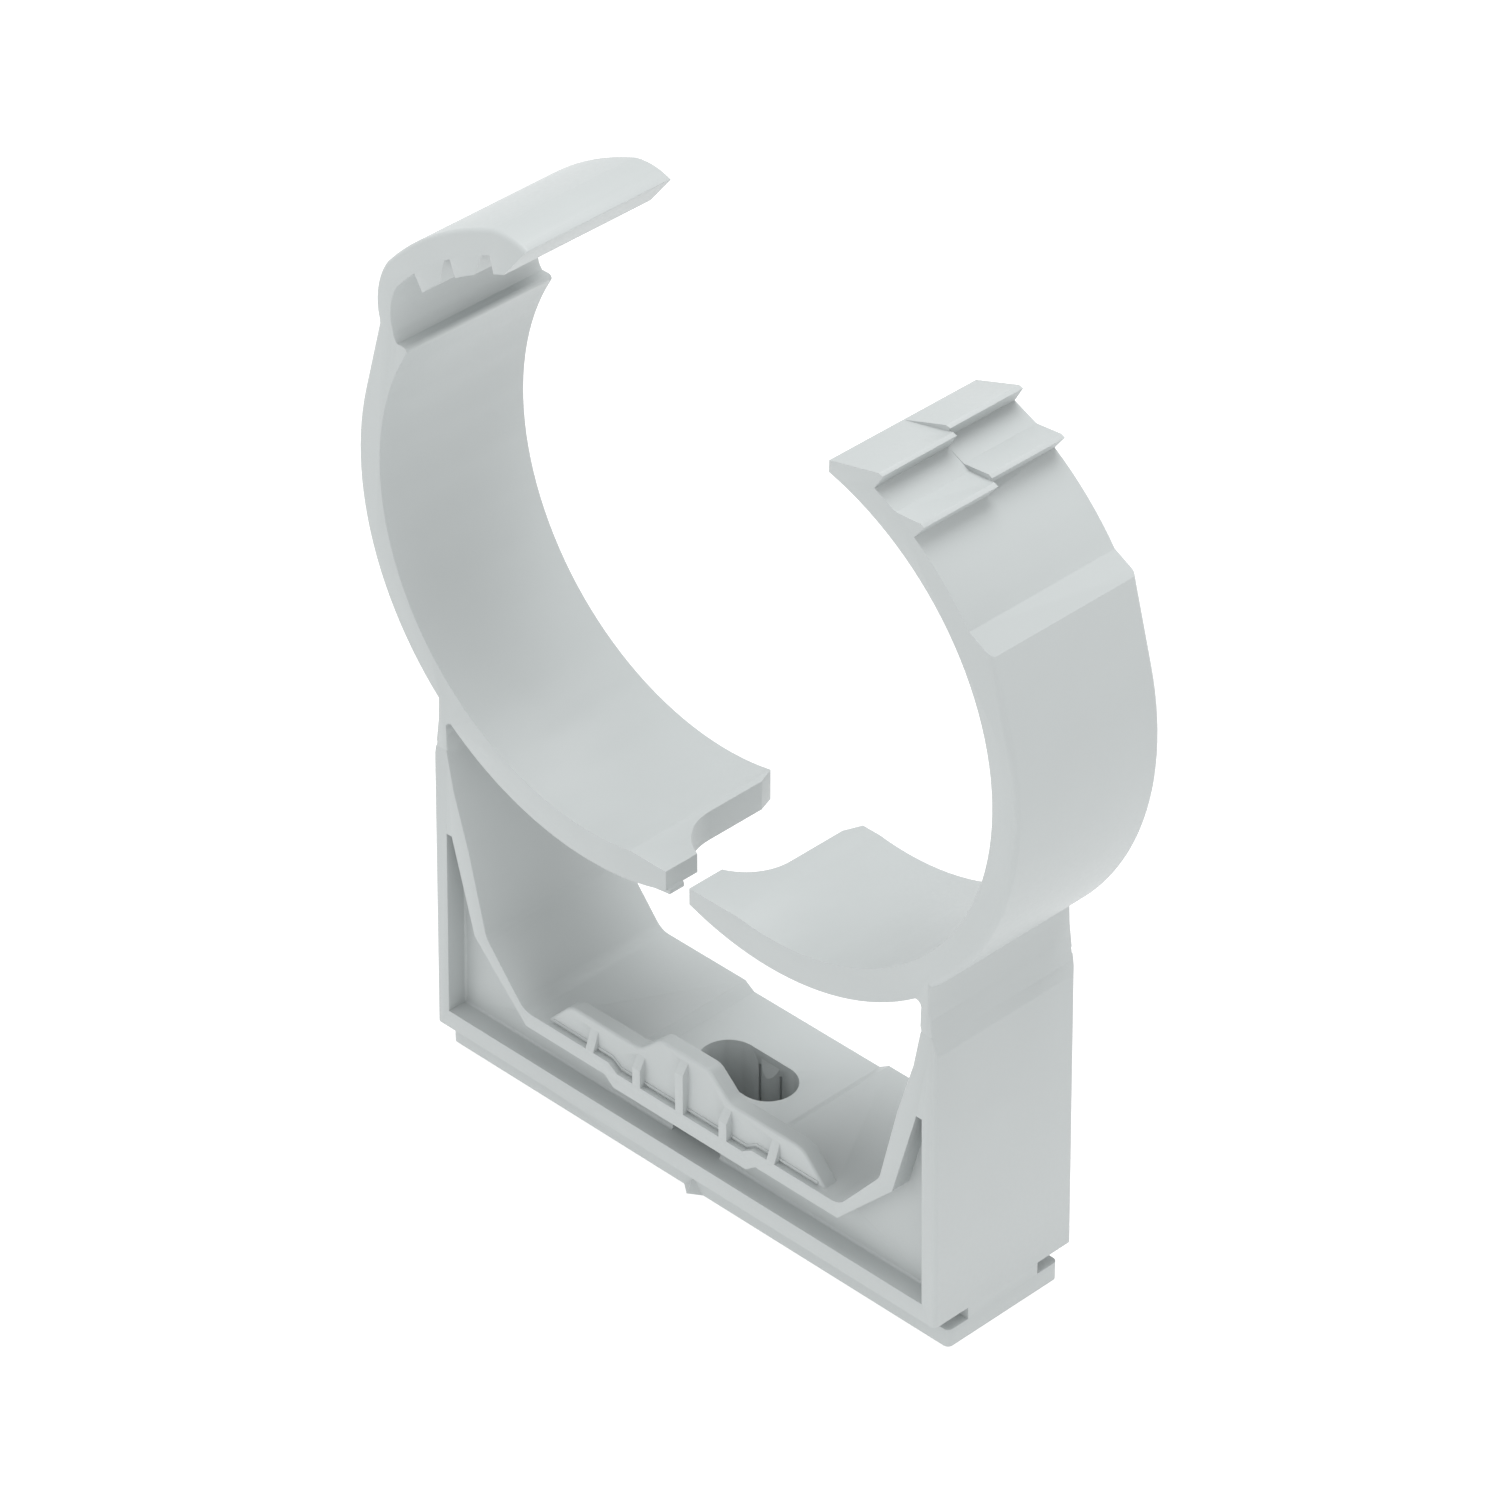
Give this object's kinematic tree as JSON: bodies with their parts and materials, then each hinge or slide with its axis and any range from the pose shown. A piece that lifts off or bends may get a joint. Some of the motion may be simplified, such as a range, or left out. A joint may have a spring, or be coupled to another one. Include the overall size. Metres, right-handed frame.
{
  "type": "pipe clip",
  "caption": "Moulded plastic pipe clip standing open: a hollow base with a screw slot and end walls, a jaw with a hooked, toothed end and a jaw with ratchet teeth, each on a film hinge.",
  "frame": {"origin": "middle of the underside of the foot, on the surface the clip is screwed to", "axes": "+Z away from the mounting surface, X along the base from the hook jaw to the ratchet jaw, Y along the pipe, with the lipped face towards -Y"},
  "size_m": [0.077, 0.0168, 0.0886],
  "materials": {
    "moulding": "matte"
  },
  "bodies": {
    "base": {"base": "moulding"},
    "hook_jaw": {"hook_jaw": "moulding"},
    "ratchet_jaw": {"ratchet_jaw": "moulding"}
  },
  "joints": [
    {"name": "hook_jaw_hinge", "type": "hinge", "parent": "base", "child": "hook_jaw", "pos_m": [-0.02892, 0, 0.03384], "axis": [0, 1, 0], "range_deg": [-10, 34.2], "stiffness_Nm_per_rad": 0.3},
    {"name": "ratchet_jaw_hinge", "type": "hinge", "parent": "base", "child": "ratchet_jaw", "pos_m": [0.02892, 0, 0.03384], "axis": [0, -1, 0], "range_deg": [-10, 34.2], "stiffness_Nm_per_rad": 0.3}
  ]
}
